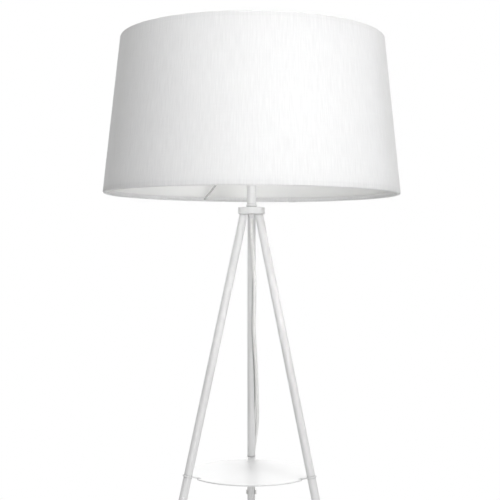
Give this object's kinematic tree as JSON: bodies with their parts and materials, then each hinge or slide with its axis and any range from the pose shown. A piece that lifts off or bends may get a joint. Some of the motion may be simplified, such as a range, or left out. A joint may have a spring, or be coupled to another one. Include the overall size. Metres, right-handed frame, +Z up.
{
  "type": "tripod floor lamp",
  "caption": "White floor lamp: slim tube tripod with a round shelf between the legs, a tapered drum shade on a short stem, and a mains lead with foot switch and plug.",
  "frame": {"origin": "on the floor, under the middle of the stem and midway between the feet", "axes": "+Z up along the stem; -Y towards the front, where the picture is taken from; +X to its right"},
  "size_m": [0.5454, 0.5393, 1.4996],
  "materials": {
    "white_enamel": "semi-gloss white powder coat on steel",
    "shade_cloth": "fine slub weave, white",
    "shade_lining": "matt white styrene film",
    "white_wire": "white enamelled wire",
    "white_plastic": "moulded white plastic",
    "white_pvc": "extruded off-white PVC",
    "zinc_steel": "zinc-plated steel",
    "brass": "pressed brass",
    "nickel": "nickel plate",
    "grey_rubber": "pale moulded rubber",
    "steatite": "pale insulating ceramic",
    "bulb_case": "white bulb housing",
    "opal": "opal diffuser",
    "core_brown": "brown core insulation",
    "core_blue": "blue core insulation"
  },
  "bodies": {
    "stand": {"hub": "white_enamel", "leg_upper_left": "white_enamel", "leg_upper_right": "white_enamel", "leg_upper_rear": "white_enamel", "leg_middle_left": "white_enamel", "leg_middle_right": "white_enamel", "leg_middle_rear": "white_enamel", "leg_lower_left": "white_enamel", "leg_lower_right": "white_enamel", "leg_lower_rear": "white_enamel", "leg_stud_plugs": "zinc_steel", "leg_nut_plugs": "zinc_steel", "foot_left": "grey_rubber", "foot_right": "grey_rubber", "foot_rear": "grey_rubber", "shelf": "white_enamel", "threaded_rod": "zinc_steel", "stem_bead": "white_enamel", "stem": "white_enamel", "cord_gland": "white_enamel", "holder_cap": "white_plastic", "holder_skirt": "white_plastic", "holder_insert": "steatite", "contact_shell": "brass", "centre_contact": "brass", "holder_terminals": "brass", "cord_in_stem": "white_pvc", "core_live": "core_brown", "core_neutral": "core_blue", "shade_ring_lower": "white_plastic", "shade_ring_upper": "white_plastic", "cable_clips": "white_plastic", "cord_on_leg": "white_pvc", "cord_to_coil": "white_pvc", "cord_coil": "white_pvc", "cord_to_plug": "white_pvc", "coil_tie": "white_plastic", "switch_base": "white_plastic", "switch_cover": "white_plastic", "switch_screws": "zinc_steel", "switch_spring": "zinc_steel", "switch_contacts": "brass", "switch_relief_in": "white_pvc", "switch_relief_out": "white_pvc", "plug_body": "white_plastic", "plug_pins": "nickel", "plug_relief": "white_pvc"},
    "shade": {"shade_fabric": "shade_cloth", "shade_liner": "shade_lining", "shade_spider": "white_wire", "shade_top_ring": "white_wire"},
    "bulb_lift": {"bulb_tip": "brass"},
    "bulb": {"bulb_glass_ring": "steatite", "bulb_screw_cap": "nickel", "bulb_housing": "bulb_case", "bulb_globe": "opal"},
    "push_button": {"switch_button": "white_plastic"}
  },
  "joints": [
    {"name": "shade_turn", "type": "hinge", "parent": "stand", "child": "shade", "pos_m": [0, 0, 1.3386], "axis": [0, 0, 1], "continuous": true},
    {"name": "bulb_climb", "type": "slide", "parent": "stand", "child": "bulb_lift", "axis": [0, 0, 1], "range_m": [0, 0.0108]},
    {"name": "bulb_turn", "type": "hinge", "parent": "bulb_lift", "child": "bulb", "pos_m": [0, 0, 1.35], "axis": [0, 0, 1], "range_deg": [0, 1080]},
    {"name": "button_press", "type": "slide", "parent": "stand", "child": "push_button", "axis": [0, 0, -1], "range_m": [0, 0.003], "stiffness_N_per_m": 800, "springref_m": -0.002, "deforming": ["switch_spring"]}
  ],
  "couplings": [
    {"joint": "bulb_climb", "follows": "bulb_turn", "m_per_rad": 0.00057296}
  ]
}
